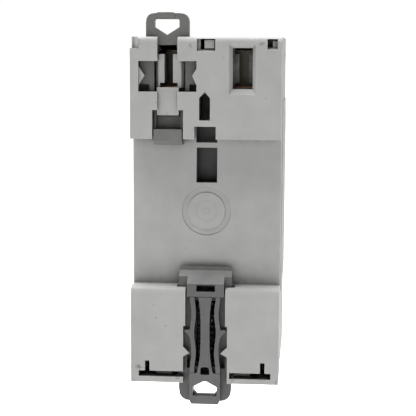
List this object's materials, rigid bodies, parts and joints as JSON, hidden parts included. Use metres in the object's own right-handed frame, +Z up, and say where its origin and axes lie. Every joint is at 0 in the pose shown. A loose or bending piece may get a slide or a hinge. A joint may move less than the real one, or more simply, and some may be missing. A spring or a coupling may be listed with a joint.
{
  "type": "residual current device",
  "caption": "Two-module residual current device for a 35 mm rail, with working rail clips, toggle, contacts, test button and screw terminals.",
  "frame": {"origin": "centre of the rail seat, on the floor of the rear recess", "axes": "+Y out of the device's front towards the toggle, +Z up the device's length, +X to the right as seen from the rear"},
  "size_m": [0.036, 0.069, 0.0942],
  "materials": {
    "housing": "light warm grey moulded thermoplastic, fine matt texture",
    "clip": "dark grey moulded thermoplastic, satin",
    "black_moulding": "black moulded thermoplastic, satin",
    "steel": "zinc plated sheet and wire",
    "spring_steel": "drawn spring wire",
    "plated_screw": "nickel plated screw",
    "passivated_steel": "yellow passivated steel",
    "copper": "bare copper strip",
    "brass": "bare brass strip",
    "silver_tip": "silver alloy contact",
    "lead_insulation": "soft insulation over stranded copper",
    "ferrite": "lacquered strip-wound core",
    "enamelled_copper": "enamelled copper wire",
    "resistor": "lacquered film resistor",
    "clear_lens": "clear polycarbonate",
    "indicator": "two-colour moulded flag",
    "test_button": "amber moulded button"
  },
  "bodies": {
    "housing": {"rear_base": "housing", "front_cover": "housing", "pole_barrier": "black_moulding", "mechanism_plate_left": "steel", "mechanism_plate_right": "steel", "toggle_pin": "steel", "toggle_spring": "spring_steel", "carrier_pin": "steel", "trip_relay": "black_moulding", "toroid_core": "ferrite", "toroid_winding": "enamelled_copper", "test_bracket": "black_moulding", "test_contact_blade": "brass", "test_resistor": "resistor", "test_spring": "spring_steel", "indicator_window": "clear_lens", "lower_clip_spring": "spring_steel", "line_bar_left": "copper", "load_bar_left": "copper", "fixed_tip_left": "silver_tip", "flexible_lead_left": "lead_insulation", "arc_chute_left": "steel", "line_bar_right": "copper", "load_bar_right": "copper", "fixed_tip_right": "silver_tip", "flexible_lead_right": "lead_insulation", "arc_chute_right": "steel"},
    "upper_clip": {"upper_rail_clip": "clip"},
    "lower_clip": {"lower_rail_clip": "clip", "lower_clip_arm_left": "clip", "lower_clip_arm_right": "clip"},
    "toggle": {"toggle_handle": "black_moulding"},
    "drive_link": {"drive_link": "steel"},
    "contact_carrier": {"contact_carrier": "black_moulding", "contact_arm_left": "copper", "contact_arm_right": "copper", "moving_tip_left": "silver_tip", "moving_tip_right": "silver_tip", "contact_spring_left": "spring_steel", "contact_spring_right": "spring_steel"},
    "indicator": {"indicator_flag": "indicator"},
    "test_button": {"test_button": "test_button"},
    "relay_plunger": {"relay_plunger": "steel"},
    "trip_lever": {"trip_lever": "black_moulding"},
    "line_screw_left": {"line_terminal_screw_left": "plated_screw"},
    "line_cage_left": {"line_terminal_cage_left": "passivated_steel"},
    "line_screw_right": {"line_terminal_screw_right": "plated_screw"},
    "line_cage_right": {"line_terminal_cage_right": "passivated_steel"},
    "load_screw_left": {"load_terminal_screw_left": "plated_screw"},
    "load_cage_left": {"load_terminal_cage_left": "passivated_steel"},
    "load_screw_right": {"load_terminal_screw_right": "plated_screw"},
    "load_cage_right": {"load_terminal_cage_right": "passivated_steel"}
  },
  "joints": [
    {"name": "upper_clip_slide", "type": "slide", "parent": "housing", "child": "upper_clip", "axis": [0, 0, 1], "range_m": [0, 0.003]},
    {"name": "lower_clip_slide", "type": "slide", "parent": "housing", "child": "lower_clip", "axis": [0, 0, -1], "range_m": [0, 0.0066], "stiffness_N_per_m": 300, "springref_m": -0.003, "deforming": ["lower_clip_spring", "lower_clip_arm_left", "lower_clip_arm_right"]},
    {"name": "toggle_hinge", "type": "hinge", "parent": "housing", "child": "toggle", "pos_m": [-0.0065, 0.0485, 0], "axis": [1, 0, 0], "range_deg": [-56, 0]},
    {"name": "link_hinge", "type": "hinge", "parent": "toggle", "child": "drive_link", "pos_m": [-0.0065, 0.0432, -0.00282], "axis": [1, 0, 0], "range_deg": [0, 56]},
    {"name": "carrier_hinge", "type": "hinge", "parent": "housing", "child": "contact_carrier", "pos_m": [0, 0.022, -0.002], "axis": [1, 0, 0], "range_deg": [0, 26], "deforming": ["flexible_lead_left", "flexible_lead_right"]},
    {"name": "indicator_hinge", "type": "hinge", "parent": "housing", "child": "indicator", "pos_m": [0.0095, 0.049, -0.0065], "axis": [1, 0, 0], "range_deg": [0, 84]},
    {"name": "test_button_slide", "type": "slide", "parent": "housing", "child": "test_button", "axis": [0, -1, 0], "range_m": [0, 0.002], "stiffness_N_per_m": 400, "springref_m": -0.002, "deforming": ["test_spring"]},
    {"name": "relay_plunger_slide", "type": "slide", "parent": "housing", "child": "relay_plunger", "axis": [0, 0, 1], "range_m": [0, 0.002]},
    {"name": "trip_lever_hinge", "type": "hinge", "parent": "housing", "child": "trip_lever", "pos_m": [0.0077, 0.037, -0.0025], "axis": [1, 0, 0], "range_deg": [0, 25.5]},
    {"name": "line_screw_turn_left", "type": "hinge", "parent": "housing", "child": "line_screw_left", "pos_m": [-0.009, 0.036, 0.0344], "axis": [0, -1, 0], "range_deg": [0, 2520]},
    {"name": "line_cage_slide_left", "type": "slide", "parent": "housing", "child": "line_cage_left", "axis": [0, 1, 0], "range_m": [0, 0.0049]},
    {"name": "line_screw_turn_right", "type": "hinge", "parent": "housing", "child": "line_screw_right", "pos_m": [0.009, 0.036, 0.0344], "axis": [0, -1, 0], "range_deg": [0, 2520]},
    {"name": "line_cage_slide_right", "type": "slide", "parent": "housing", "child": "line_cage_right", "axis": [0, 1, 0], "range_m": [0, 0.0049]},
    {"name": "load_screw_turn_left", "type": "hinge", "parent": "housing", "child": "load_screw_left", "pos_m": [-0.009, 0.036, -0.0337], "axis": [0, -1, 0], "range_deg": [0, 2520]},
    {"name": "load_cage_slide_left", "type": "slide", "parent": "housing", "child": "load_cage_left", "axis": [0, 1, 0], "range_m": [0, 0.0049]},
    {"name": "load_screw_turn_right", "type": "hinge", "parent": "housing", "child": "load_screw_right", "pos_m": [0.009, 0.036, -0.0337], "axis": [0, -1, 0], "range_deg": [0, 2520]},
    {"name": "load_cage_slide_right", "type": "slide", "parent": "housing", "child": "load_cage_right", "axis": [0, 1, 0], "range_m": [0, 0.0049]}
  ],
  "couplings": [
    {"joint": "link_hinge", "follows": "toggle_hinge", "ratio": -1},
    {"joint": "carrier_hinge", "follows": "toggle_hinge", "ratio": -0.46429},
    {"joint": "indicator_hinge", "follows": "toggle_hinge", "ratio": -1.5},
    {"joint": "trip_lever_hinge", "follows": "relay_plunger_slide", "rad_per_m": 222.2},
    {"joint": "line_screw_turn_left", "follows": "line_cage_slide_left", "rad_per_m": 8976},
    {"joint": "line_screw_turn_right", "follows": "line_cage_slide_right", "rad_per_m": 8976},
    {"joint": "load_screw_turn_left", "follows": "load_cage_slide_left", "rad_per_m": 8976},
    {"joint": "load_screw_turn_right", "follows": "load_cage_slide_right", "rad_per_m": 8976}
  ]
}
